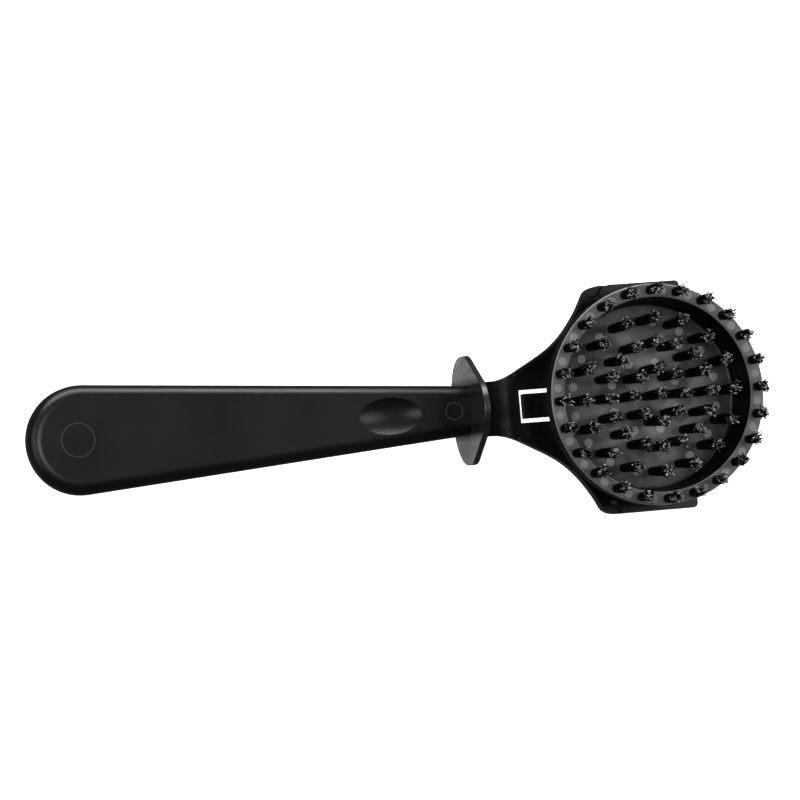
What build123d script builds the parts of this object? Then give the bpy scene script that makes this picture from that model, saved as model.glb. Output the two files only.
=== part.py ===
"""Wheel brush with a slide-in round head: grip in two shells, hand guard, head carrier with a
release tongue, and a cup-shaped brush block set with 65 tufts.

Millimetres. The origin is on the carrier's back face, on the axis of the round head. +X runs from the
grip to the head, +Z is the bristle side, and Y is across.
"""

from build123d import *
from math import asin, atan2, cos, hypot, radians, sin, tan
import os

os.makedirs("parts", exist_ok=True)

# ---------------------------------------------------------------- driving sizes
# Carrier: a flat plate under the head, with a cheek at each side and a low rib round the flare
plate_thick = 3.5
carrier_half_width = 41.8
carrier_front_x = 17.6
carrier_front_corner_r = 1.8
cheek_rear_x = -13.3
cheek_wall = 1.8
cheek_rear_wall = 1.6
cheek_lip_thick = 1.5
cheek_lip_width = 3.1
cheek_corner_r = 4.5
flare_points = ((-43.4, 14.4), (-31.4, 21.7), (-22.0, 32.5))
shoulder_start = (5.3, 3.2)
shoulder_end = 1.6
shoulder_slope = (0.42, 0.9)
rib_thick = 1.2
rib_height = 1.7
rib_rear_x = -47.0
rib_stations = 8

# Neck and tang
neck_half_width = 9.85
neck_start_x = -56.8
neck_core_wall = 2.4
neck_core_roof = 0.5
neck_core_height = 4.0
ramp_end_x = -48.3
ramp_fall = 0.55
under_rise = 0.25
tang_half_width = 6.0
tang_thick = 5.6
tang_length = 18.0

# Grip
grip_mid_z = 3.5
grip_length = 160.1
grip_end_r = 19.45
grip_front_half_width = 9.0
grip_front_thick = 10.4
grip_end_thick = 13.6
grip_edge_r = 4.6
grip_wall = 2.2
dimple_half_length = 11.4
dimple_half_width = 6.65
dimple_depth = 2.0
dimple_from_guard = 29.0

# Screws, driven from the back
screw_thread_r = 1.4
screw_head_r = 2.7
screw_head_thick = 1.9
screw_head_edge_r = 0.6
screw_tip_gap = 0.3
recess_length = 3.5
recess_width = 0.8
recess_depth = 1.0
tang_boss_r = 3.25
tang_screw_from_guard = 5.6
end_boss_r = 6.1
end_screw_from_end = 17.5
boss_mark_height = 0.08
boss_mark_width = 0.35

# Guard
guard_face_x = -66.2
guard_thick = 2.4
guard_half_width = 19.8
guard_depth = 18.8
guard_side_slope = 1.7
guard_side_rise = 3.4
guard_apex_r = 11.0
guard_side_r = 10.0
guard_foot_r = 16.0
guard_edge_r = 0.5

# Release tongue
tongue_half_width = 4.5
tongue_end_x = -44.3
tongue_root_x = -12.0
slit_side = 1.5
slit_end = 1.4
tongue_underside_z = 0.2
catch_height = 1.5
catch_length = 3.3
catch_ramp = 1.6
catch_side_inset = 0.5
tongue_step = 0.35
tongue_step_length = 3.0

# Brush block
rim_inner_r = 35.2
rim_width = 4.9
rim_thick = 6.6
cup_depth = 16.0
cup_draft = 1.6
cup_wall = 1.6
slab_thick = 5.95
rim_outer_edge_r = 0.6
rim_inner_edge_r = 0.4
rim_under_edge_r = 0.4
cup_floor_edge_r = 0.9
rail_thick = 1.7
rail_corner_r = 3.0
catch_ridge = 2.3

# Tufts: how many on each ring, and how far the field's rings stand from the wall and each other
rim_count = 24
outer_count = 16
middle_count = 16
inner_count = 8
outer_ring_margin = 6.2
ring_spacing = 8.7
tuft_hole_r = 1.5
tuft_hole_depth = 4.6
tuft_flare = 0.45
rim_tuft_length = 10.6
field_tuft_length = 21.0
anchor_bite = 0.25
anchor_height = 1.5
anchor_thick = 0.45

# Ejector marks between the tufts
mark_r = 1.6
mark_depth = 0.12
inner_mark_inset = 5.7

# Clearances
slide_gap = 0.15
side_gap = 0.2
hinge_gap = 0.05
catch_gap = 0.3
socket_gap = 0.1

# ---------------------------------------------------------------- worked-out sizes
grip_front_x = guard_face_x
grip_end_x = grip_front_x - grip_length
grip_end_centre_x = grip_end_x + grip_end_r
dimple_x = grip_front_x - dimple_from_guard
tang_screw_x = grip_front_x - tang_screw_from_guard
end_screw_x = grip_end_x + end_screw_from_end
neck_rear_x = guard_face_x + guard_thick
block_foot_z = plate_thick + slide_gap
cup_floor_z = block_foot_z + slab_thick
rim_top_z = cup_floor_z + cup_depth
rim_under_z = rim_top_z - rim_thick
rim_outer_r = rim_inner_r + rim_width
cup_floor_r = rim_inner_r - cup_draft
block_foot_r = cup_floor_r + cup_wall
lip_under_z = block_foot_z + rail_thick + slide_gap
cheek_top_z = lip_under_z + cheek_lip_thick
rail_half_width = carrier_half_width - cheek_wall - side_gap
lip_inner_y = carrier_half_width - cheek_wall - cheek_lip_width
hinge_z = (plate_thick + tongue_underside_z) / 2
hinge_r = (plate_thick - tongue_underside_z) / 2
slot_half_width = tongue_half_width + slit_side
slot_end_x = tongue_end_x - slit_end
catch_rear_x = -block_foot_r + catch_ridge + catch_gap
anchor_width = 2 * (tuft_hole_r + anchor_bite)

# rings of tufts and of ejector marks: radius, how many, and the turn of the first one
rim_ring = (rim_inner_r + rim_width / 2, rim_count, 0.0)
outer_ring = (cup_floor_r - outer_ring_margin, outer_count, 0.0)
middle_ring = (outer_ring[0] - ring_spacing, middle_count, 0.0)
inner_ring = (middle_ring[0] / 2, inner_count, 0.0)
mark_rings = (
    (rim_ring[0], rim_count, 180.0 / rim_count),
    (outer_ring[0], outer_count, 180.0 / outer_count),
    (middle_ring[0] - inner_mark_inset, inner_count, 180.0 / inner_count),
)


def save(shape, name):
    """Write one node, with its solids as they are."""
    shape.label = name
    export_step(shape, f"parts/{name}.step")


def ring_places(ring):
    """The places and turns of what stands on one ring."""
    radius, count, first = ring
    for i in range(count):
        turn = first + 360.0 * i / count
        yield radius * cos(radians(turn)), radius * sin(radians(turn)), turn


def grip_outline(inset):
    """Plan of the grip: a round end, and straight flanks that meet it at a tangent."""
    end_r = grip_end_r - inset
    front_x = grip_front_x - inset
    run = grip_front_x - grip_end_centre_x
    # the flank is tangent to the end circle and passes through the front corner
    reach = hypot(run, grip_front_half_width)
    lean = asin(grip_end_r / reach) - atan2(grip_front_half_width, run)
    touch = Vector(grip_end_centre_x - end_r * sin(-lean), end_r * cos(lean))
    slope = tan(lean)
    front_y = touch.Y - slope * (front_x - touch.X)
    tip = Vector(grip_end_centre_x - end_r, 0)
    line_up = Line(touch, (front_x, front_y))
    front = Line((front_x, front_y), (front_x, -front_y))
    line_down = Line((front_x, -front_y), (touch.X, -touch.Y))
    end = ThreePointArc((touch.X, -touch.Y), tip, touch)
    return make_face(Wire([line_up, front, line_down, end]))


def grip_face_z(x):
    """Height of the grip's front face at one place along it."""
    taper = (grip_end_thick - grip_front_thick) / 2 / grip_length
    return grip_mid_z + grip_front_thick / 2 + taper * (grip_front_x - x)


def grip_profile(inset):
    """Side view of the grip: slim at the guard and thicker at the round end."""
    front_x = grip_front_x + 1
    end_x = grip_end_x - 1
    front = grip_face_z(front_x) - grip_mid_z - inset
    back = grip_face_z(end_x) - grip_mid_z - inset
    points = [
        (front_x, grip_mid_z + front),
        (end_x, grip_mid_z + back),
        (end_x, grip_mid_z - back),
        (front_x, grip_mid_z - front),
    ]
    return make_face(Polyline(*[(x, 0, z) for x, z in points], close=True))


def grip_body(inset, edge_r):
    """The whole grip as one rounded solid, drawn in by inset."""
    plan = extrude(grip_outline(inset), amount=60)
    plan = Pos(0, 0, -30) * plan
    side = extrude(grip_profile(inset), amount=40, both=True, dir=(0, 1, 0))
    body = plan & side
    edges = body.edges().filter_by(lambda e: abs(e.tangent_at(0.5).Z) < 0.5)
    edges = edges.filter_by(lambda e: e.center().X < grip_front_x - inset - 0.5)
    return fillet(edges, edge_r)


def dimple_body(extra):
    """Spheroid whose lower cap makes the thumb dimple; extra is the wall kept under it."""
    half_angle = 2 * atan2(dimple_depth, dimple_half_width)
    cross_r = dimple_half_width / sin(half_angle)
    long_r = dimple_half_length / sin(half_angle)
    lift = cross_r * cos(half_angle)
    half = Ellipse(long_r + extra, cross_r + extra) - Pos(0, 50) * Rectangle(200, 100)
    solid = revolve(Plane.XZ * half, Axis.X)
    return Pos(dimple_x, 0, grip_face_z(dimple_x) + lift) * solid


def tang_solid(gap):
    """The carrier's tang, grown by gap all round for the socket that holds it."""
    width = 2 * (tang_half_width + gap)
    length = tang_length + guard_thick + gap
    tang = Box(length, width, tang_thick + 2 * gap, align=(Align.MAX, Align.CENTER, Align.CENTER))
    return Pos(neck_rear_x, 0, grip_mid_z) * tang


def upright(x, radius, low, high):
    """A cylinder along Z."""
    return Pos(x, 0, low) * Cylinder(radius, high - low, align=(Align.CENTER, Align.CENTER, Align.MIN))


def screw(x, head_z, tip_z):
    """Pan-head screw, head towards -Z, with a cross recess."""
    shank_z = head_z + screw_head_thick
    body = upright(x, screw_head_r, head_z, shank_z) + upright(x, screw_thread_r, shank_z, tip_z)
    rim = body.edges().filter_by(GeomType.CIRCLE).sort_by(Axis.Z)[0]
    body = fillet(rim, screw_head_edge_r)
    bar = Box(recess_length, recess_width, 2 * recess_depth)
    cross = bar + Rot(0, 0, 90) * bar
    return body - Pos(x, 0, head_z) * cross


def make_grip():
    """Two shells that meet at the grip's middle plane, with a boss for each screw."""
    outer = grip_body(0, grip_edge_r)
    inner = grip_body(grip_wall, grip_edge_r - grip_wall)
    half_box = Box(400, 200, 100, align=(Align.CENTER, Align.CENTER, Align.MIN))
    half_box = Pos(grip_front_x, 0, grip_mid_z) * half_box
    front_outer = outer & half_box
    back_outer = outer - half_box
    socket = tang_solid(socket_gap)
    # the tang's socket is cut first, so that its screw boss stands through the tang
    front = (front_outer - inner) + (dimple_body(grip_wall) & front_outer) - socket
    back = (back_outer - inner) - socket
    bosses = upright(end_screw_x, end_boss_r, -30, 30) + upright(tang_screw_x, tang_boss_r, -30, 30)
    front += bosses & front_outer
    back += bosses & back_outer
    front -= dimple_body(0)
    pilot_top = grip_mid_z + grip_front_thick / 2 - grip_wall
    head_seat = grip_mid_z - grip_front_thick / 2 + grip_wall
    for x, radius in ((end_screw_x, end_boss_r), (tang_screw_x, tang_boss_r)):
        front -= upright(x, screw_thread_r, -30, pilot_top)
        back -= upright(x, screw_thread_r + socket_gap, -30, 30)
        back -= upright(x, screw_head_r + socket_gap, -30, head_seat)
        # witness line of the core pin over the boss, a hair-thin raised ring
        top_z = grip_face_z(x) + boss_mark_height
        ring = upright(x, radius, top_z - grip_wall / 2, top_z)
        front += ring - upright(x, radius - boss_mark_width, -30, 31)
    save(front, "handle_front_shell")
    save(back, "handle_back_shell")
    for x, name in ((end_screw_x, "end_screw"), (tang_screw_x, "tang_screw")):
        save(screw(x, head_seat - screw_head_thick, pilot_top - screw_tip_gap), name)


def guard_outline():
    """Shield outline: straight sides up to a round apex, and a full, round foot."""
    apex_z = guard_side_rise + guard_side_slope * guard_half_width
    points = [
        (0, apex_z),
        (guard_half_width, guard_side_rise),
        (guard_half_width, -guard_depth),
        (-guard_half_width, -guard_depth),
        (-guard_half_width, guard_side_rise),
    ]
    face = make_face(Polyline(*points, close=True))
    face = fillet(face.vertices().sort_by(Axis.Y)[-1], guard_apex_r)
    sides = face.vertices().filter_by(lambda v: abs(v.Y - guard_side_rise) < 0.01)
    face = fillet(sides, guard_side_r)
    feet = face.vertices().filter_by(lambda v: v.Y < -guard_depth + 0.01)
    return fillet(feet, guard_foot_r)


def make_guard():
    """Hand guard: a flat shield square to the grip, threaded on the tang."""
    frame = Plane(origin=(guard_face_x, 0, grip_mid_z), x_dir=(0, 1, 0), z_dir=(1, 0, 0))
    plate = extrude(frame * guard_outline(), amount=guard_thick)
    rims = plate.edges().filter_by(lambda e: abs(e.tangent_at(0.5).X) < 0.1)
    plate = fillet(rims, guard_edge_r)
    plate -= tang_solid(socket_gap)
    save(plate, "hand_guard")


def flare_curve():
    """Plan of one flank of the flare, from the neck to the cheek's shoulder."""
    shoulder = (cheek_rear_x - shoulder_start[0], carrier_half_width - shoulder_start[1])
    neck_end = (neck_start_x, neck_half_width)
    return Spline(neck_end, *flare_points, shoulder, tangents=[(1, 0), shoulder_slope])


def carrier_outline():
    """Plan of the carrier from the neck's shoulder to the straight front edge."""
    w = carrier_half_width
    neck = Line((neck_rear_x, neck_half_width), (neck_start_x, neck_half_width))
    flare = flare_curve()
    corner = Spline(flare @ 1, (cheek_rear_x + shoulder_end, w), tangents=[flare % 1, (1, 0)])
    side = Line(corner @ 1, (carrier_front_x, w))
    front = Line(side @ 1, (carrier_front_x, 0))
    back = Line((neck_rear_x, 0), neck @ 0)
    axis_line = Line(front @ 1, back @ 0)
    upper = make_face(Wire([back, neck, flare, corner, side, front, axis_line]))
    front_corner = upper.vertices().sort_by(lambda v: v.X + v.Y)[-1]
    upper = fillet(front_corner, carrier_front_corner_r)
    return upper + mirror(upper, Plane.XZ)


def flare_rib():
    """Low rib along one flank of the flare, a constant width from the neck's ramp to the cheek."""
    flare = flare_curve()
    inner = []
    for i in range(rib_stations + 1):
        t = i / rib_stations
        along = flare % t
        inner.append(flare @ t + Vector(along.Y, -along.X) * rib_thick)
    end_x = cheek_rear_x + cheek_rear_wall
    edge = Spline(*inner)
    far = Polyline(edge @ 1, (end_x, (edge @ 1).Y), (end_x, 60), (neck_start_x, 60), edge @ 0)
    strip = extrude(make_face(Wire([edge, *far.edges()])), amount=plate_thick + rib_height)
    ahead = Pos(rib_rear_x, 0, 0) * Box(60, 200, 60, align=(Align.MIN, Align.CENTER, Align.CENTER))
    return strip & ahead & extrude(carrier_outline(), amount=plate_thick + rib_height)


def make_carrier():
    """Neck, flare, socket cheeks and the tang, in one moulding with the U-slot cut through."""
    plate = extrude(carrier_outline(), amount=plate_thick)
    # neck block, with the ramp down to the plate
    top_z = grip_mid_z + grip_front_thick / 2
    low_z = grip_mid_z - grip_front_thick / 2
    top_start = (neck_rear_x, 0, top_z)
    ramp = Spline(top_start, (ramp_end_x, 0, plate_thick), tangents=[(1, 0, -ramp_fall), (1, 0, 0)])
    under = Spline((ramp_end_x, 0, 0), (neck_rear_x, 0, low_z), tangents=[(-1, 0, 0), (-1, 0, -under_rise)])
    side = make_face(Wire([ramp, Line(ramp @ 1, under @ 0), under, Line(under @ 1, ramp @ 0)]))
    block = extrude(side, amount=60, both=True, dir=(0, 1, 0))
    plan = Pos(0, 0, -20) * extrude(carrier_outline(), amount=60)
    block = block & plan
    body = plate + block
    rib = flare_rib()
    body += rib
    body += mirror(rib, Plane.XZ)
    # cheeks with a lip over the rails
    cheek_length = carrier_front_x - cheek_rear_x
    inner_y = carrier_half_width - cheek_wall
    root_z = plate_thick / 2
    width = cheek_wall + cheek_lip_width
    for side_sign in (1, -1):
        cheek = Box(cheek_length, width, cheek_top_z - root_z, align=(Align.MIN, Align.MAX, Align.MIN))
        rear_outer = cheek.edges().filter_by(Axis.Z).sort_by(lambda e: e.center().X - e.center().Y)[0]
        cheek = fillet(rear_outer, cheek_corner_r)
        front_outer = cheek.edges().filter_by(Axis.Z).sort_by(lambda e: e.center().X + e.center().Y)[-1]
        cheek = fillet(front_outer, carrier_front_corner_r)
        cheek = Pos(cheek_rear_x, carrier_half_width, root_z) * cheek
        rail_box = Box(cheek_length, 20, lip_under_z - plate_thick, align=(Align.MIN, Align.MAX, Align.MIN))
        rail_box = Pos(cheek_rear_x + cheek_rear_wall, inner_y, plate_thick) * rail_box
        cheek -= rail_box
        if side_sign < 0:
            cheek = mirror(cheek, Plane.XZ)
        body += cheek
    slot = Box(
        tongue_root_x - slot_end_x,
        2 * slot_half_width,
        30,
        align=(Align.MIN, Align.CENTER, Align.CENTER),
    )
    body -= Pos(slot_end_x, 0, 0) * slot
    pocket = Rot(90, 0, 0) * Cylinder(hinge_r + hinge_gap, 2 * slot_half_width)
    body -= Pos(tongue_root_x, 0, hinge_z) * pocket
    # the neck is cored out from the back
    core_length = ramp_end_x - neck_rear_x - 2 * neck_core_wall
    core_width = 2 * (neck_half_width - neck_core_wall)
    core = Box(core_length, core_width, neck_core_height, align=(Align.MIN, Align.CENTER, Align.MAX))
    body -= Pos(neck_rear_x + neck_core_wall, 0, plate_thick - neck_core_roof) * core
    body += tang_solid(0)
    body -= upright(tang_screw_x, tang_boss_r + socket_gap, -30, 30)
    save(body, "head_carrier")


def make_tongue():
    """Release tongue: round at its root, with a catch for the block's rear ridge."""
    length = tongue_root_x - tongue_end_x
    thick = plate_thick - tongue_underside_z
    bar = Box(length, 2 * tongue_half_width, thick, align=(Align.MIN, Align.CENTER, Align.MIN))
    bar = Pos(tongue_end_x, 0, tongue_underside_z) * bar
    root = Pos(tongue_root_x, 0, hinge_z) * (Rot(90, 0, 0) * Cylinder(hinge_r, 2 * tongue_half_width))
    body = bar + root
    step_size = (tongue_step_length, 2 * tongue_half_width, tongue_step)
    step = Box(*step_size, align=(Align.MIN, Align.CENTER, Align.MIN))
    body += Pos(tongue_end_x, 0, plate_thick) * step
    rear = catch_rear_x
    top = plate_thick + catch_height
    points = [
        (rear, plate_thick - 0.5),
        (rear, top),
        (rear + catch_length - catch_ramp, top),
        (rear + catch_length, plate_thick),
        (rear + catch_length, plate_thick - 0.5),
    ]
    catch = make_face(Polyline(*[(x, 0, z) for x, z in points], close=True))
    body += extrude(catch, amount=tongue_half_width - catch_side_inset, both=True, dir=(0, 1, 0))
    save(body, "release_tongue")


def make_block():
    """Cup with a thick rim, rails at its foot, tuft holes and ejector marks."""
    section = [
        (0, block_foot_z),
        (block_foot_r, block_foot_z),
        (block_foot_r, cup_floor_z),
        (rim_inner_r + cup_wall, rim_under_z),
        (rim_outer_r, rim_under_z),
        (rim_outer_r, rim_top_z),
        (rim_inner_r, rim_top_z),
        (cup_floor_r, cup_floor_z),
        (0, cup_floor_z),
    ]
    half = make_face(Polyline(*[(r, 0, z) for r, z in section], close=True))
    cup = revolve(half, Axis.Z)

    def ring_edges(radius, z):
        circles = cup.edges().filter_by(GeomType.CIRCLE)
        return circles.filter_by(lambda e: abs(e.radius - radius) < 0.01 and abs(e.center().Z - z) < 0.01)

    cup = fillet(ring_edges(rim_outer_r, rim_top_z), rim_outer_edge_r)
    cup = fillet(ring_edges(rim_inner_r, rim_top_z), rim_inner_edge_r)
    cup = fillet(ring_edges(cup_floor_r, cup_floor_z), cup_floor_edge_r)
    cup = fillet(ring_edges(rim_outer_r, rim_under_z), rim_under_edge_r)
    rail_rear_x = cheek_rear_x + cheek_rear_wall + side_gap
    rails = Box(
        carrier_front_x - rail_rear_x,
        2 * rail_half_width,
        rail_thick,
        align=(Align.MIN, Align.CENTER, Align.MIN),
    )
    rear_corners = rails.edges().filter_by(Axis.Z).sort_by(Axis.X)[:2]
    rails = fillet(rear_corners, rail_corner_r)
    body = cup + Pos(rail_rear_x, 0, block_foot_z) * rails
    # notch for the tongue's catch
    notch_length = catch_length + 2 * catch_gap
    notch = Box(
        notch_length,
        2 * tongue_half_width,
        catch_height + catch_gap,
        align=(Align.MIN, Align.CENTER, Align.MIN),
    )
    body -= Pos(-block_foot_r + catch_ridge, 0, block_foot_z - slide_gap) * notch
    for ring, top in tuft_rings():
        for x, y, turn in ring_places(ring):
            hole = Cylinder(tuft_hole_r, tuft_hole_depth, align=(Align.CENTER, Align.CENTER, Align.MAX))
            body -= Pos(x, y, top) * hole
    for ring, top in zip(mark_rings, (rim_top_z, cup_floor_z, cup_floor_z)):
        disc = Cylinder(mark_r, mark_depth, align=(Align.CENTER, Align.CENTER, Align.MAX))
        for x, y, turn in ring_places(ring):
            body -= Pos(x, y, top) * disc
    save(body, "brush_block")


def tuft_rings():
    """Each ring with the level of the face that it is set in."""
    centre = (0.0, 1, 0.0)
    return (
        (rim_ring, rim_top_z),
        (outer_ring, cup_floor_z),
        (middle_ring, cup_floor_z),
        (inner_ring, cup_floor_z),
        (centre, cup_floor_z),
    )


def make_tufts():
    """Each tuft is a flaring column folded over a flat anchor at the bottom of its hole."""
    names = ("rim", "outer", "middle", "inner", "centre")
    lengths = (rim_tuft_length, field_tuft_length, field_tuft_length, field_tuft_length, field_tuft_length)
    for name, length, (ring, top) in zip(names, lengths, tuft_rings()):
        foot_z = top - tuft_hole_depth
        profile = [
            (0, foot_z),
            (tuft_hole_r, foot_z),
            (tuft_hole_r, top),
            (tuft_hole_r + tuft_flare, top + length),
            (0, top + length),
        ]
        column = revolve(make_face(Polyline(*[(r, 0, z) for r, z in profile], close=True)), Axis.Z)
        anchor = Box(anchor_thick, anchor_width, anchor_height, align=(Align.CENTER, Align.CENTER, Align.MIN))
        anchor = Pos(0, 0, foot_z) * anchor
        column -= anchor
        tufts = []
        anchors = []
        for x, y, turn in ring_places(ring):
            place = Pos(x, y, 0) * Rot(0, 0, turn)
            tufts += (place * column).solids()
            anchors += (place * anchor).solids()
        plural = "tuft" if name == "centre" else "tufts"
        save(Compound(children=tufts), f"{name}_{plural}")
        plural = "anchor" if name == "centre" else "anchors"
        save(Compound(children=anchors), f"{name}_{plural}")


make_grip()
make_guard()
make_carrier()
make_tongue()
make_block()
make_tufts()
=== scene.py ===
"""Wheel brush: black injection-moulded grip, hand guard and head carrier, with a slide-in round head
set with 65 tufts of crimped filament. Metres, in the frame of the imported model."""

from math import cos, pi, radians, sin

import bpy
from mathutils import Matrix, Vector


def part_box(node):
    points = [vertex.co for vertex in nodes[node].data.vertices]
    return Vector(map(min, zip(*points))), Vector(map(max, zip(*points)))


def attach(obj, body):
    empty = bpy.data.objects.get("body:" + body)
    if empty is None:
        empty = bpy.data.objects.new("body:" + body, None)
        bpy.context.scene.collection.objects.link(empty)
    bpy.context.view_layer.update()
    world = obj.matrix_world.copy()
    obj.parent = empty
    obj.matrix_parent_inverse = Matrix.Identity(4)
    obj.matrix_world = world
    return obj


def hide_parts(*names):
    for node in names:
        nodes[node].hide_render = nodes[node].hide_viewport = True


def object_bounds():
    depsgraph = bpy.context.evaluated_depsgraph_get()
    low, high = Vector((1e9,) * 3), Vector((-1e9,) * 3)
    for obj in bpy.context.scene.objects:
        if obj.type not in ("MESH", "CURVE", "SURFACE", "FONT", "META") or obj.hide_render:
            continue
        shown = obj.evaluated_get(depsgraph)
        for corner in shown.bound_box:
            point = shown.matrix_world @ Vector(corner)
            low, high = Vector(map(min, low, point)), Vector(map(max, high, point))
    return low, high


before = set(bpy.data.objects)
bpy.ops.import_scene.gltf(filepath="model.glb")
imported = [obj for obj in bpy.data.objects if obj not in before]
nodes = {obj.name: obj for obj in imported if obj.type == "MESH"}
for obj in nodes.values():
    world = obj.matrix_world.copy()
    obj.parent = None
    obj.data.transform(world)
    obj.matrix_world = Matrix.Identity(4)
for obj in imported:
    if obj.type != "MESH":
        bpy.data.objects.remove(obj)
cad_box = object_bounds()
scene = bpy.context.scene

# ---- Camera -------------------------------------------------------------------------------------
# A long lens looks down on the bristle side. It leans towards the grip's end and is rolled a little,
# so that the grip's upper flank lies level in the picture.
lean = radians(14.0)
side_lean = radians(2.0)
roll = radians(4.84)
distance = 1.3
aim = Vector((-0.0902, 0.0057, 0.0035))
picture_width = 0.288
back = Vector((-sin(lean), -sin(side_lean), cos(lean))).normalized()
along = Vector((cos(lean), 0.0, sin(lean)))
along = (along - back * along.dot(back)).normalized()
across = back.cross(along)
right = along * cos(roll) - across * sin(roll)
up = along * sin(roll) + across * cos(roll)
camera_data = bpy.data.cameras.new("camera")
camera_data.sensor_width = 36.0
camera_data.lens = 36.0 * distance / picture_width
camera = bpy.data.objects.new("camera", camera_data)
turn = Matrix((right, up, back)).transposed().to_4x4()
camera.matrix_world = Matrix.Translation(aim + back * distance) @ turn
scene.collection.objects.link(camera)
scene.camera = camera

# ---- Floor and light ----------------------------------------------------------------------------
# A white table top that glows a little, and soft boxes. One hangs overhead and reaches into the cup;
# the others stand low, so that the black plastic mirrors them at its edges and stays dark on its flats.
# The table is left out of mirrored light, which a real one isn't, because it whitened the upright walls.


def linear(hex_colour):
    """An sRGB hex colour as the linear RGBA that a shader takes."""
    values = [int(hex_colour[i : i + 2], 16) / 255 for i in (1, 3, 5)]
    return (*[v / 12.92 if v <= 0.04045 else ((v + 0.055) / 1.055) ** 2.4 for v in values], 1.0)


def fill(node, inputs):
    """Give a node's inputs their values, or link the sockets given for them."""
    for key, value in inputs.items():
        if isinstance(value, bpy.types.NodeSocket):
            node.id_data.links.new(value, node.inputs[key])
        else:
            node.inputs[key].default_value = value


def add(tree, kind, inputs=None, **settings):
    """Add a node with its settings and its inputs, named or numbered."""
    node = tree.nodes.new(kind)
    for name, value in settings.items():
        setattr(node, name, value)
    fill(node, inputs or {})
    return node


def new_material(name):
    """A new material, with its node tree and its Principled shader."""
    material = bpy.data.materials.new(name)
    material.use_nodes = True
    return material, material.node_tree, material.node_tree.nodes["Principled BSDF"]


bpy.ops.mesh.primitive_plane_add(size=12, location=(0, 0, cad_box[0].z - 0.0002))
table = bpy.context.object
table.name = "table_top"
table.visible_glossy = False
laminate, tree, shader = new_material("white_table_laminate")
fill(
    shader,
    {
        "Base Color": linear("#f4f4f4"),
        "Roughness": 0.7,
        "Emission Color": linear("#ffffff"),
        "Emission Strength": 0.7,
    },
)
table.data.materials.append(laminate)

world = bpy.data.worlds.new("studio")
scene.world = world
world.use_nodes = True
fill(world.node_tree.nodes["Background"], {"Color": linear("#ffffff"), "Strength": 0.09})

soft_boxes = (
    # name, place, width and height, watts
    ("box_overhead", (-0.6, -0.02, 1.38), (0.5, 0.5), 10),
    ("box_far", (-0.1, 1.15, 0.42), (1.8, 0.6), 40),
    ("box_right", (0.72, 0.1, 0.95), (0.5, 0.7), 7),
    ("box_left", (-1.3, 0.0, 0.6), (1.0, 0.7), 6),
)
for name, spot, (width, height), watts in soft_boxes:
    lamp_data = bpy.data.lights.new(name, "AREA")
    lamp_data.shape = "RECTANGLE"
    lamp_data.size = width
    lamp_data.size_y = height
    lamp_data.energy = watts
    lamp = bpy.data.objects.new(name, lamp_data)
    lamp.location = spot
    lamp.rotation_euler = (aim - Vector(spot)).to_track_quat("-Z", "Y").to_euler()
    scene.collection.objects.link(lamp)
scene.view_settings.view_transform = "Standard"

# ---- Grip shells --------------------------------------------------------------------------------
# Two shells, taken as injection-moulded black polypropylene: satin, with a grain drawn coarse enough to
# show, meeting in a hairline groove. The soft patches, the pale ring over each screw's boss and the duller
# sheen by the guard are set by place to give the right look; their cause isn't known.
satin, tree, shader = new_material("satin_black_polypropylene_grip")
place = add(tree, "ShaderNodeTexCoord").outputs["Object"]
worn = add(tree, "ShaderNodeTexNoise", {"Vector": place, "Scale": 1000 / 38.0}).outputs["Fac"]
grain = add(tree, "ShaderNodeTexNoise", {"Vector": place, "Scale": 1000 / 0.45}).outputs["Fac"]
sink = add(tree, "ShaderNodeTexNoise", {"Vector": place, "Scale": 1000 / 26.0, "Detail": 0.0}).outputs["Fac"]
colour = add(
    tree,
    "ShaderNodeMix",
    {0: worn, 6: linear("#040405"), 7: linear("#090a0b")},
    data_type="RGBA",
)
level_only = (1.0, 1.0, 0.0)
flat_place = add(tree, "ShaderNodeVectorMath", {0: place, 1: level_only}, operation="MULTIPLY").outputs[0]
ring_half_width = 0.0002
for screw, ring_radius in (("end_screw", 0.0059), ("tang_screw", 0.0031)):
    low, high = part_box(screw)
    boss = ((low.x + high.x) / 2, (low.y + high.y) / 2, 0.0)
    inputs = {0: flat_place, 1: boss}
    from_boss = add(tree, "ShaderNodeVectorMath", inputs, operation="DISTANCE").outputs["Value"]
    inputs = {0: from_boss, 1: ring_radius, 2: ring_half_width}
    ring = add(tree, "ShaderNodeMath", inputs, operation="COMPARE").outputs[0]
    inputs = {0: ring, 6: colour.outputs[2], 7: linear("#2b2b2c")}
    colour = add(tree, "ShaderNodeMix", inputs, data_type="RGBA")
rough = add(
    tree,
    "ShaderNodeMapRange",
    {"Value": worn, "From Min": 0.3, "From Max": 0.7, "To Min": 0.3, "To Max": 0.38},
)
parts_of_place = add(tree, "ShaderNodeSeparateXYZ", {"Vector": place}).outputs
seam_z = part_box("handle_back_shell")[1].z
seam_half_width = 0.00012
inputs = {0: parts_of_place["Z"], 1: seam_z, 2: seam_half_width}
seam = add(tree, "ShaderNodeMath", inputs, operation="COMPARE")
guard_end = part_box("handle_front_shell")[1].x
dull_length = 0.05
sheen = add(
    tree,
    "ShaderNodeMapRange",
    {
        "Value": parts_of_place["X"],
        "From Min": guard_end - dull_length,
        "From Max": guard_end,
        "To Min": 0.25,
        "To Max": 0.1,
    },
)
normal = add(tree, "ShaderNodeBump", {"Height": sink, "Distance": 0.00025})
normal = add(tree, "ShaderNodeBump", {"Height": grain, "Distance": 0.00002, "Normal": normal.outputs[0]})
normal = add(
    tree,
    "ShaderNodeBump",
    {"Height": seam.outputs[0], "Distance": 0.0001, "Normal": normal.outputs[0]},
    invert=True,
)
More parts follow.
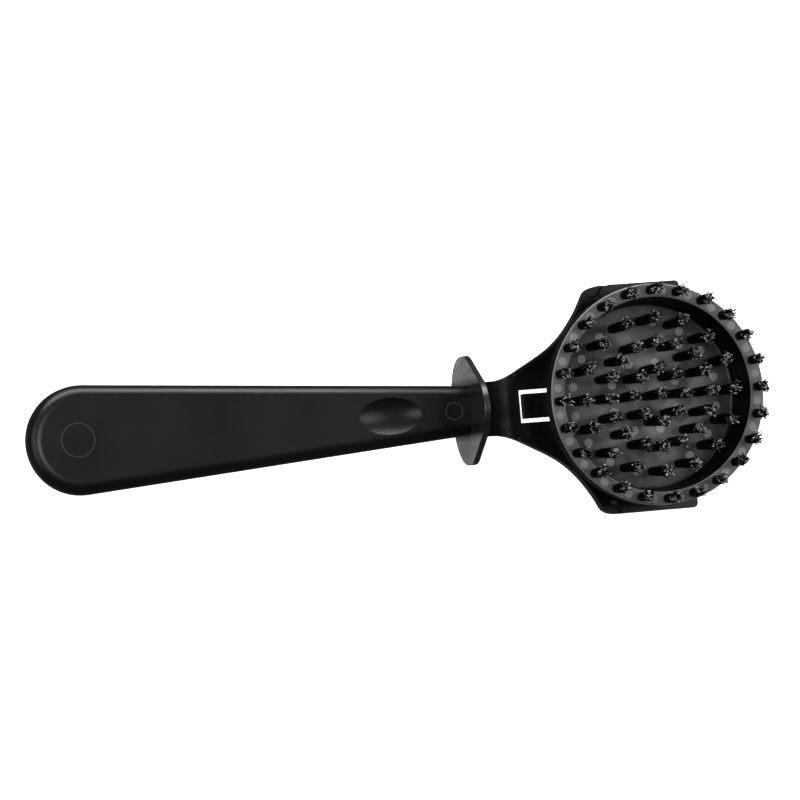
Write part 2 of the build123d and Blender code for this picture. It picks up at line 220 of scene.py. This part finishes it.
fill(
    shader,
    {
        "Base Color": colour.outputs[2],
        "Roughness": rough.outputs["Result"],
        "IOR": 1.49,
        "Specular IOR Level": sheen.outputs[0],
        "Normal": normal.outputs[0],
    },
)
for name in ("handle_front_shell", "handle_back_shell"):
    nodes[name].data.materials.clear()
    nodes[name].data.materials.append(satin)

# ---- Hand guard ---------------------------------------------------------------------------------
# A flat shield, taken as the same plastic. Its grip side is pale with upright streaks beside the grip, a
# painted reflection of the white table top, and black over the grip's middle, the grip's painted reflection.
# Both are painted, so they stay under any light.
guard_skin_with_painted_reflection, tree, shader = new_material("scuffed_black_polypropylene_guard_painted_reflection")
place = add(tree, "ShaderNodeTexCoord").outputs["Object"]
drawn = add(tree, "ShaderNodeMapping", {"Vector": place, "Scale": (1.0, 1.0, 0.15)})
scuff = add(
    tree,
    "ShaderNodeTexNoise",
    {"Vector": drawn.outputs[0], "Scale": 1000 / 1.6, "Detail": 4.0, "Roughness": 0.6},
).outputs["Fac"]
# Painted reflection of the white table top: pale grey with upright streaks, shown on the grip side only.
colour = add(
    tree,
    "ShaderNodeMix",
    {0: scuff, 6: linear("#363637"), 7: linear("#787879")},
    data_type="RGBA",
)
parts_of_place = add(tree, "ShaderNodeSeparateXYZ", {"Vector": place}).outputs
on_face = add(
    tree,
    "ShaderNodeMath",
    {0: parts_of_place["X"], 1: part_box("hand_guard")[0].x, 2: 0.0001},
    operation="COMPARE",
)
sideways = add(tree, "ShaderNodeMath", {0: parts_of_place["Y"]}, operation="ABSOLUTE").outputs[0]
# Painted reflection of the black grip: the grip side stays black this far to either side of the middle.
grip_reflection_half_width = 0.0085
fade = 0.003
inputs = {"Value": sideways, "From Min": grip_reflection_half_width, "From Max": grip_reflection_half_width + fade}
beside_grip = add(tree, "ShaderNodeMapRange", inputs)
# The painted table reflection covers the grip side, except over the grip's middle.
inputs = {0: on_face.outputs[0], 1: beside_grip.outputs[0]}
painted_table_reflection = add(tree, "ShaderNodeMath", inputs, operation="MULTIPLY")
colour = add(
    tree,
    "ShaderNodeMix",
    {0: painted_table_reflection.outputs[0], 6: linear("#0b0b0c"), 7: colour.outputs[2]},
    data_type="RGBA",
)
rough = add(
    tree,
    "ShaderNodeMapRange",
    {"Value": scuff, "From Min": 0.3, "From Max": 0.7, "To Min": 0.28, "To Max": 0.42},
)
normal = add(tree, "ShaderNodeBump", {"Height": scuff, "Distance": 0.00001})
fill(
    shader,
    {
        "Base Color": colour.outputs[2],
        "Roughness": rough.outputs["Result"],
        "IOR": 1.49,
        "Normal": normal.outputs[0],
    },
)
nodes["hand_guard"].data.materials.clear()
nodes["hand_guard"].data.materials.append(guard_skin_with_painted_reflection)

# ---- Head carrier and release tongue ----------------------------------------------------------------
# Taken as the same polypropylene from a polished tool: near-black gloss with slight sink waves, and fine
# scuffs that run every way.
gloss, tree, shader = new_material("gloss_black_polypropylene_carrier")
place = add(tree, "ShaderNodeTexCoord").outputs["Object"]
scuff = add(
    tree,
    "ShaderNodeTexNoise",
    {"Vector": place, "Scale": 1000 / 3.0, "Detail": 6.0, "Roughness": 0.7, "Distortion": 1.5},
).outputs["Fac"]
sink = add(tree, "ShaderNodeTexNoise", {"Vector": place, "Scale": 1000 / 14.0, "Detail": 0.0}).outputs["Fac"]
colour = add(
    tree,
    "ShaderNodeMix",
    {0: scuff, 6: linear("#030303"), 7: linear("#070708")},
    data_type="RGBA",
)
rough = add(
    tree,
    "ShaderNodeMapRange",
    {"Value": scuff, "From Min": 0.3, "From Max": 0.7, "To Min": 0.2, "To Max": 0.3},
)
normal = add(tree, "ShaderNodeBump", {"Height": sink, "Distance": 0.00012})
normal = add(tree, "ShaderNodeBump", {"Height": scuff, "Distance": 0.000006, "Normal": normal.outputs[0]})
fill(
    shader,
    {
        "Base Color": colour.outputs[2],
        "Roughness": rough.outputs["Result"],
        "IOR": 1.49,
        "Specular IOR Level": 0.25,
        "Normal": normal.outputs[0],
    },
)
for name in ("head_carrier", "release_tongue"):
    nodes[name].data.materials.clear()
    nodes[name].data.materials.append(gloss)

# ---- Brush block --------------------------------------------------------------------------------
# Taken as moulded polypropylene. The walls are near black and the rim's top is clouded paler. The floor's
# middle is clouded paler too, and darkens towards the wall: painted shade of the wall. Pale discs, read as
# ejector marks, lie a hair below both faces; their pale is a painted reflection of light from overhead. The
# tones are painted by height and by distance from the axis.
block, tree, shader = new_material("clouded_black_polypropylene_block")
place = add(tree, "ShaderNodeTexCoord").outputs["Object"]
height = add(tree, "ShaderNodeSeparateXYZ", {"Vector": place}).outputs["Z"]
rim_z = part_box("brush_block")[1].z
cup_depth = 0.016
floor_z = rim_z - cup_depth
mark_depth = 0.00012
bands = {}
for band, (middle, reach) in {
    "rim": (rim_z, 0.0005),
    "floor": (floor_z, 0.0005),
    "rim_marks": (rim_z - mark_depth, mark_depth / 2),
    "floor_marks": (floor_z - mark_depth, mark_depth / 2),
}.items():
    inputs = {0: height, 1: middle, 2: reach}
    bands[band] = add(tree, "ShaderNodeMath", inputs, operation="COMPARE").outputs[0]
cloud = add(tree, "ShaderNodeTexNoise", {"Vector": place, "Scale": 1000 / 11.0, "Detail": 3.0}).outputs["Fac"]
inputs = {"Value": cloud, "From Min": 0.35, "From Max": 0.65}
cloud = add(tree, "ShaderNodeMapRange", inputs).outputs["Result"]
flat_place = add(tree, "ShaderNodeVectorMath", {0: place, 1: level_only}, operation="MULTIPLY").outputs[0]
from_axis = add(tree, "ShaderNodeVectorMath", {0: flat_place}, operation="LENGTH").outputs["Value"]
# Painted shade of the cup wall: the floor's clouding fades from the middle towards the wall.
inputs = {"Value": from_axis, "From Min": 0.014, "From Max": 0.034, "To Min": 1.0, "To Max": 0.1}
inwards = add(tree, "ShaderNodeMapRange", inputs).outputs["Result"]
cloud_and_painted_wall_shade = add(tree, "ShaderNodeMath", {0: cloud, 1: inwards}, operation="MULTIPLY").outputs[0]
speck = add(tree, "ShaderNodeTexNoise", {"Vector": place, "Scale": 1000 / 1.2, "Detail": 4.0}).outputs["Fac"]
faces = add(tree, "ShaderNodeMath", {0: bands["rim"], 1: bands["floor"]}, operation="MAXIMUM").outputs[0]
sheen = add(tree, "ShaderNodeMapRange", {"Value": faces, "To Min": 0.08, "To Max": 0.3})
colour = linear("#030303")
# The discs' pale is a painted reflection of light from overhead; on the floor they share its painted wall
# shade.
for band, clouding_and_shade, dark, pale in (
    ("rim", cloud, "#363637", "#4f4f50"),
    ("floor", cloud_and_painted_wall_shade, "#29292a", "#7d7d7e"),
    ("rim_marks", cloud, "#5c5c5d", "#6a6a6b"),
    ("floor_marks", cloud_and_painted_wall_shade, "#767677", "#b4b4b5"),
):
    clouding_and_painted_light = add(tree, "ShaderNodeMix", {0: clouding_and_shade, 6: linear(dark), 7: linear(pale)}, data_type="RGBA")
    inputs = {0: bands[band], 6: colour, 7: clouding_and_painted_light.outputs[2]}
    colour = add(tree, "ShaderNodeMix", inputs, data_type="RGBA").outputs[2]
rough = add(
    tree,
    "ShaderNodeMapRange",
    {"Value": speck, "From Min": 0.3, "From Max": 0.7, "To Min": 0.32, "To Max": 0.46},
)
normal = add(tree, "ShaderNodeBump", {"Height": cloud, "Distance": 0.00006})
normal = add(tree, "ShaderNodeBump", {"Height": speck, "Distance": 0.00002, "Normal": normal.outputs[0]})
fill(
    shader,
    {
        "Base Color": colour,
        "Roughness": rough.outputs["Result"],
        "IOR": 1.49,
        "Specular IOR Level": sheen.outputs[0],
        "Normal": normal.outputs[0],
    },
)
nodes["brush_block"].data.materials.clear()
nodes["brush_block"].data.materials.append(block)

# ---- Bristles -----------------------------------------------------------------------------------
# Each tuft is a bundle of crimped black filament, taken as polypropylene, folded over its anchor and driven
# into a 3 mm hole. The filaments stand packed where they leave the hole, and splay and curl at their tips.
filament, tree, shader = new_material("black_polypropylene_filament")
place = add(tree, "ShaderNodeTexCoord").outputs["Object"]
out_share = add(tree, "ShaderNodeAttribute", attribute_name="out_of_hole").outputs["Fac"]
patch = add(tree, "ShaderNodeTexNoise", {"Vector": place, "Scale": 1000 / 1.3}).outputs["Fac"]
inputs = {"Value": patch, "From Min": 0.46, "From Max": 0.66}
patch = add(tree, "ShaderNodeMapRange", inputs).outputs["Result"]
inputs = {"Value": out_share, "From Min": 0.88, "From Max": 1.0}
tip = add(tree, "ShaderNodeMapRange", inputs).outputs["Result"]
# Painted glints: pale patches near the cut tips stand in for their shine, and the filament's own gloss is set
# low.
painted_tip_glints = add(tree, "ShaderNodeMath", {0: tip, 1: patch}, operation="MULTIPLY").outputs[0]
colour = add(
    tree,
    "ShaderNodeMix",
    {0: painted_tip_glints, 6: linear("#010101"), 7: linear("#a2a2a2")},
    data_type="RGBA",
)
fill(
    shader,
    {"Base Color": colour.outputs[2], "Roughness": 0.45, "IOR": 1.49, "Specular IOR Level": 0.04},
)

hole_depth = 0.0046
tufts = bpy.data.node_groups.new("ring_of_tufts", "GeometryNodeTree")
tufts.interface.new_socket("Geometry", in_out="INPUT", socket_type="NodeSocketGeometry")
for name, value in {
    "Ring radius": 0.03,
    "Tufts": 16,
    "Foot height": 0.005,
    "Hole depth": hole_depth,
    "Length": 0.021,
    "Bundle radius": 0.00138,
    "Filaments": 56,
    "Filament diameter": 0.0004,
    "Splay": 0.25,
    "Outward lean": 0.0008,
    "Curl": 0.0008,
    "Crimp": 0.00012,
    "Seed": 1,
}.items():
    kind = "NodeSocketInt" if isinstance(value, int) else "NodeSocketFloat"
    tufts.interface.new_socket(name, in_out="INPUT", socket_type=kind).default_value = value
tufts.interface.new_socket("Material", in_out="INPUT", socket_type="NodeSocketMaterial")
tufts.interface.new_socket("Geometry", in_out="OUTPUT", socket_type="NodeSocketGeometry")
given = tufts.nodes.new("NodeGroupInput").outputs
math = "ShaderNodeMath"
whole = "FunctionNodeIntegerMath"
stations = 12

# one straight strand for each filament of the ring
count = add(tufts, whole, {0: given["Tufts"], 1: given["Filaments"]}, operation="MULTIPLY").outputs[0]
points = add(tufts, "GeometryNodePoints", {"Count": count})
line = add(tufts, "GeometryNodeCurvePrimitiveLine", {"End": (0, 0, 0.01)})
strand = add(tufts, "GeometryNodeResampleCurve", {"Curve": line.outputs["Curve"], "Count": stations})
inputs = {"Points": points.outputs[0], "Instance": strand.outputs[0]}
placed = add(tufts, "GeometryNodeInstanceOnPoints", inputs)
strands = add(tufts, "GeometryNodeRealizeInstances", {"Geometry": placed.outputs[0]})

# which filament, in which tuft, and how far along it
index = add(tufts, "GeometryNodeInputIndex").outputs[0]
share = add(tufts, "GeometryNodeSplineParameter").outputs["Factor"]
which = add(tufts, whole, {0: index, 1: stations}, operation="DIVIDE").outputs[0]
tuft = add(tufts, whole, {0: which, 1: given["Filaments"]}, operation="DIVIDE").outputs[0]
within = add(tufts, whole, {0: which, 1: given["Filaments"]}, operation="MODULO").outputs[0]

# fixed random numbers: a range for each filament, or for each tuft
chance = {}
for shift, (name, ident, low, high) in enumerate(
    (
        ("cut", which, -0.0007, 0.0005),
        ("looseness", which, 0.5, 1.6),
        ("wave start", which, 0.0, 6.28),
        ("curl bearing", which, 0.0, 6.28),
        ("bundle bearing", tuft, 0.0, 6.28),
        ("sag bearing", tuft, 0.0, 6.28),
        ("sag", tuft, 0.0, 0.0006),
    )
):
    seed = add(tufts, whole, {0: given["Seed"], 1: shift}).outputs[0]
    inputs = {2: low, 3: high, 7: ident, 8: seed}
    chance[name] = add(tufts, "FunctionNodeRandomValue", inputs, data_type="FLOAT").outputs[1]

# height above the anchor, and the share of the free length that it has reached
top = add(tufts, math, {0: given["Hole depth"], 1: given["Length"]}).outputs[0]
cut_top = add(tufts, math, {0: top, 1: chance["cut"]}).outputs[0]
rise = add(tufts, math, {0: share, 1: cut_top}, operation="MULTIPLY").outputs[0]
inputs = {"Value": rise, "From Min": given["Hole depth"], "From Max": top}
out = add(tufts, "ShaderNodeMapRange", inputs).outputs[0]
out_square = add(tufts, math, {0: out, 1: out}, operation="MULTIPLY").outputs[0]

# distance from the tuft's axis: evenly filled by the golden angle, and wider towards the tip
filled = add(tufts, math, {0: within, 1: 0.5}).outputs[0]
filled = add(tufts, math, {0: filled, 1: given["Filaments"]}, operation="DIVIDE").outputs[0]
filled = add(tufts, math, {0: filled}, operation="SQRT").outputs[0]
packed = add(tufts, math, {0: filled, 1: given["Bundle radius"]}, operation="MULTIPLY").outputs[0]
splay = add(tufts, math, {0: out, 1: 2.4}, operation="POWER").outputs[0]
splay = add(tufts, math, {0: splay, 1: given["Splay"]}, operation="MULTIPLY").outputs[0]
splay = add(tufts, math, {0: splay, 1: chance["looseness"], 2: 1.0}, operation="MULTIPLY_ADD").outputs[0]
inputs = {"Value": out, "From Max": 0.12, "To Min": 1.0, "To Max": 1.16}
loose = add(tufts, "ShaderNodeMapRange", inputs).outputs[0]
from_axis = add(tufts, math, {0: packed, 1: splay}, operation="MULTIPLY").outputs[0]
from_axis = add(tufts, math, {0: from_axis, 1: loose}, operation="MULTIPLY").outputs[0]
golden_angle = 2.39996
inputs = {0: within, 1: golden_angle, 2: chance["bundle bearing"]}
golden = add(tufts, math, inputs, operation="MULTIPLY_ADD").outputs[0]

# crimp all the way up, a hook over the last quarter, and the whole tuft a little off upright
start = add(tufts, "ShaderNodeMapRange", {"Value": out, "From Max": 0.17}).outputs[0]
crimp = add(tufts, math, {0: start, 1: given["Crimp"]}, operation="MULTIPLY").outputs[0]
crimp_phase = 27.5
inputs = {0: share, 1: crimp_phase, 2: chance["wave start"]}
wave = add(tufts, math, inputs, operation="MULTIPLY_ADD").outputs[0]
hook = add(tufts, "ShaderNodeMapRange", {"Value": out, "From Min": 0.72}).outputs[0]
hook = add(tufts, math, {0: hook, 1: 1.6}, operation="POWER").outputs[0]
hook = add(tufts, math, {0: hook, 1: given["Curl"]}, operation="MULTIPLY").outputs[0]
droop = add(tufts, math, {0: hook, 1: -0.5}, operation="MULTIPLY").outputs[0]
sag = add(tufts, math, {0: out_square, 1: chance["sag"]}, operation="MULTIPLY").outputs[0]
inputs = {0: out_square, 1: given["Outward lean"], 2: given["Ring radius"]}
reach = add(tufts, math, inputs, operation="MULTIPLY_ADD")
level = add(tufts, math, {0: rise, 1: given["Foot height"]}).outputs[0]
bearing = add(tufts, math, {0: tuft, 1: given["Tufts"]}, operation="DIVIDE").outputs[0]
bearing = add(tufts, math, {0: bearing, 1: 2 * pi}, operation="MULTIPLY").outputs[0]

# each is an arm turned about the upright axis, and the filament's place is their sum
spot = (0.0, 0.0, 0.0)
for arm_length, arm_height, angle in (
    (reach.outputs[0], level, bearing),
    (from_axis, 0.0, golden),
    (crimp, 0.0, wave),
    (hook, droop, chance["curl bearing"]),
    (sag, 0.0, chance["sag bearing"]),
):
    arm = add(tufts, "ShaderNodeCombineXYZ", {"X": arm_length, "Z": arm_height}).outputs[0]
    inputs = {"Vector": arm, "Angle": angle}
    turned = add(tufts, "ShaderNodeVectorRotate", inputs, rotation_type="Z_AXIS").outputs[0]
    spot = add(tufts, "ShaderNodeVectorMath", {0: spot, 1: turned}).outputs[0]
bent = add(tufts, "GeometryNodeSetPosition", {"Geometry": strands.outputs[0], "Position": spot})
noted = add(
    tufts,
    "GeometryNodeStoreNamedAttribute",
    {"Geometry": bent.outputs[0], "Name": "out_of_hole", "Value": out},
    data_type="FLOAT",
    domain="POINT",
)

# round section, cut tips and one material
thickness = add(tufts, math, {0: given["Filament diameter"], 1: 2.0}, operation="DIVIDE").outputs[0]
section = add(tufts, "GeometryNodeCurvePrimitiveCircle", {"Resolution": 5, "Radius": thickness})
inputs = {"Curve": noted.outputs[0], "Profile Curve": section.outputs[0], "Fill Caps": True}
solid = add(tufts, "GeometryNodeCurveToMesh", inputs)
smooth = add(tufts, "GeometryNodeSetShadeSmooth", {"Geometry": solid.outputs[0]})
joined = add(tufts, "GeometryNodeRealizeInstances", {"Geometry": smooth.outputs[0]})
inputs = {"Geometry": joined.outputs[0], "Material": given["Material"]}
finished = add(tufts, "GeometryNodeSetMaterial", inputs)
add(tufts, "NodeGroupOutput", {"Geometry": finished.outputs[0]})

sockets = {item.name: item.identifier for item in tufts.interface.items_tree if item.in_out == "INPUT"}
rings = (
    # piece, CAD node, tufts, outward lean
    ("rim_bristles", "rim_tufts", 24, -0.0003),
    ("outer_bristles", "outer_tufts", 16, 0.0006),
    ("middle_bristles", "middle_tufts", 16, 0.0003),
    ("inner_bristles", "inner_tufts", 8, 0.0001),
    ("centre_bristles", "centre_tuft", 1, 0.0),
)
tuft_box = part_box("centre_tuft")
tuft_radius = (tuft_box[1].x - tuft_box[0].x) / 2
for turn_of_seed, (piece, node, tufts_round, outward) in enumerate(rings):
    low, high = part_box(node)
    grower = bpy.data.objects.new(piece + "_grower", bpy.data.meshes.new(piece))
    scene.collection.objects.link(grower)
    modifier = grower.modifiers.new("tufts", "NODES")
    modifier.node_group = tufts
    for name, value in {
        "Ring radius": high.x - tuft_radius,
        "Tufts": tufts_round,
        "Foot height": low.z,
        "Length": high.z - low.z - hole_depth,
        "Outward lean": outward,
        "Seed": 20 * turn_of_seed + 1,
        "Material": filament,
    }.items():
        modifier[sockets[name]] = value
    bpy.context.view_layer.update()
    grown = bpy.data.meshes.new_from_object(grower.evaluated_get(bpy.context.evaluated_depsgraph_get()))
    grower.modifiers.remove(modifier)
    bpy.data.objects.remove(grower)
    bristles = bpy.data.objects.new(piece, grown)
    scene.collection.objects.link(bristles)
    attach(bristles, "brush_head")
    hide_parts(node)

# ---- Anchors ------------------------------------------------------------------------------------
# Hidden in the holes, and taken as the usual slips of flat galvanised wire, sheared to length and driven
# across each hole over the folded bundle. The zinc skin is dull, with a fine spangle.
wire_zinc, tree, shader = new_material("galvanised_flat_steel_wire")
place = add(tree, "ShaderNodeTexCoord").outputs["Object"]
spangle = add(tree, "ShaderNodeTexVoronoi", {"Vector": place, "Scale": 1000 / 0.8}).outputs["Distance"]
colour = add(
    tree,
    "ShaderNodeMix",
    {0: spangle, 6: linear("#8b8d90"), 7: linear("#b1b3b6")},
    data_type="RGBA",
)
rough = add(tree, "ShaderNodeMapRange", {"Value": spangle, "To Min": 0.42, "To Max": 0.58})
fill(
    shader,
    {"Base Color": colour.outputs[2], "Metallic": 1.0, "Roughness": rough.outputs["Result"]},
)
for ring in ("rim_anchors", "outer_anchors", "middle_anchors", "inner_anchors", "centre_anchor"):
    nodes[ring].data.materials.clear()
    nodes[ring].data.materials.append(wire_zinc)

# ---- Screws -------------------------------------------------------------------------------------
# On the unseen back, and taken as two pan-head screws of bright zinc-plated steel, driven into the front
# shell's bosses. Plating over rolled steel leaves a soft mottle.
plated, tree, shader = new_material("zinc_plated_screw_steel")
place = add(tree, "ShaderNodeTexCoord").outputs["Object"]
rolled = add(tree, "ShaderNodeTexNoise", {"Vector": place, "Scale": 1000 / 0.5, "Detail": 3.0}).outputs["Fac"]
colour = add(
    tree,
    "ShaderNodeMix",
    {0: rolled, 6: linear("#a9abae"), 7: linear("#c9cbcd")},
    data_type="RGBA",
)
rough = add(
    tree,
    "ShaderNodeMapRange",
    {"Value": rolled, "From Min": 0.3, "From Max": 0.7, "To Min": 0.22, "To Max": 0.38},
)
normal = add(tree, "ShaderNodeBump", {"Height": rolled, "Distance": 0.00001})
fill(
    shader,
    {
        "Base Color": colour.outputs[2],
        "Metallic": 1.0,
        "Roughness": rough.outputs["Result"],
        "Normal": normal.outputs[0],
    },
)
for name in ("end_screw", "tang_screw"):
    nodes[name].data.materials.clear()
    nodes[name].data.materials.append(plated)
